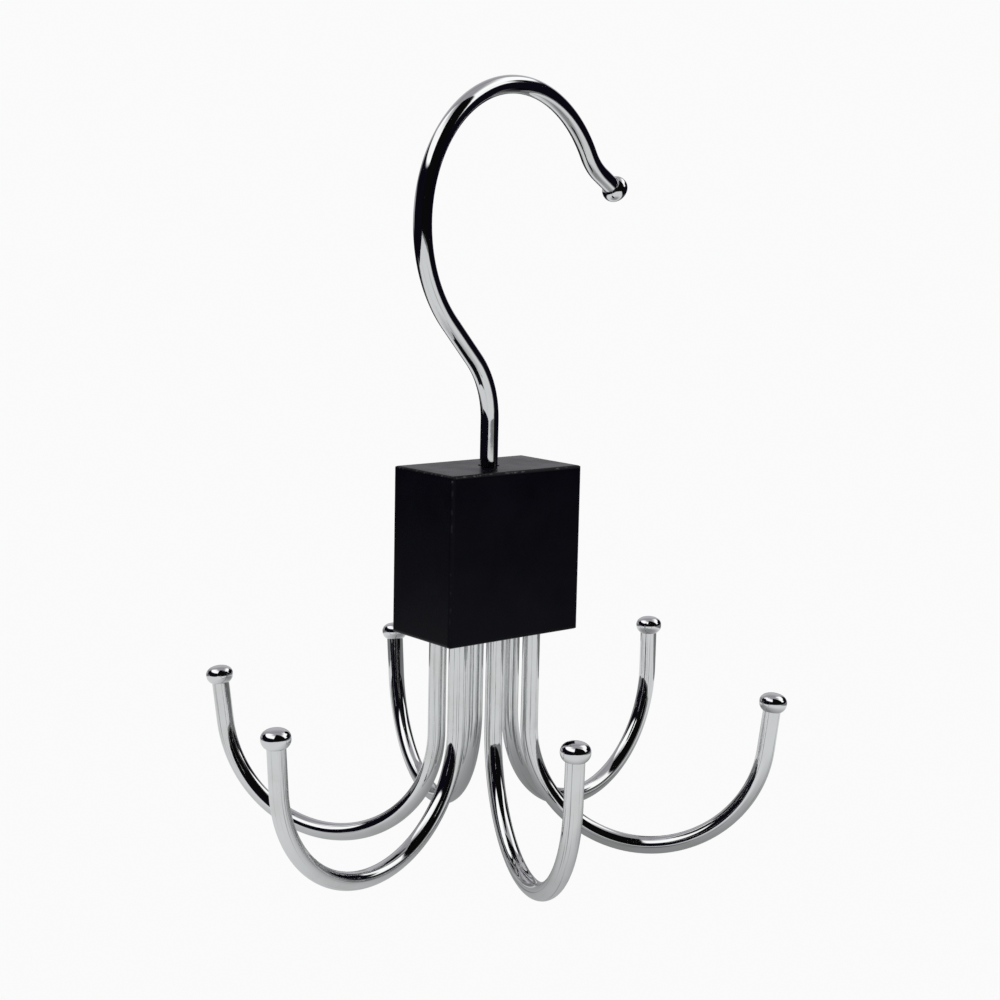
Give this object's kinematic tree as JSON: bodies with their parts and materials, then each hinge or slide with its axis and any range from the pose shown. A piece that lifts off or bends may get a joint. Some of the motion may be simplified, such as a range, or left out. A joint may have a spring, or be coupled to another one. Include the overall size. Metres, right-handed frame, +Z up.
{
  "type": "rotating hanging hook rack",
  "caption": "Wire hanger hook that swivels in a lacquered block, with J-shaped wire hooks set round the block's underside for belts, ties or scarves.",
  "frame": {"origin": "where the swivel axis meets the inside of the crook, on which a rail bears when the shank hangs plumb", "axes": "+Z up along the swivel axis, X along the block's wide faces, -Y out of the wide face that looks to the front"},
  "size_m": [0.1075, 0.0934, 0.1395],
  "materials": {
    "chrome_wire": "polished chrome plate on steel wire",
    "chrome_ball": "polished chrome plate",
    "black_lacquer": "wood with black satin lacquer",
    "washer_steel": "plain zinc-plated steel"
  },
  "bodies": {
    "hanger": {"hanger_hook": "chrome_wire", "hanger_tip": "chrome_ball"},
    "rack": {"block": "black_lacquer", "swivel_washer": "washer_steel", "bore_plug": "black_lacquer", "hook_1": "chrome_wire", "hook_2": "chrome_wire", "hook_3": "chrome_wire", "hook_4": "chrome_wire", "hook_5": "chrome_wire", "hook_6": "chrome_wire", "hook_tip_1": "chrome_ball", "hook_tip_2": "chrome_ball", "hook_tip_3": "chrome_ball", "hook_tip_4": "chrome_ball", "hook_tip_5": "chrome_ball", "hook_tip_6": "chrome_ball"}
  },
  "joints": [
    {"name": "swivel", "type": "hinge", "parent": "hanger", "child": "rack", "pos_m": [0, 0, -0.066], "axis": [0, 0, 1], "continuous": true}
  ]
}
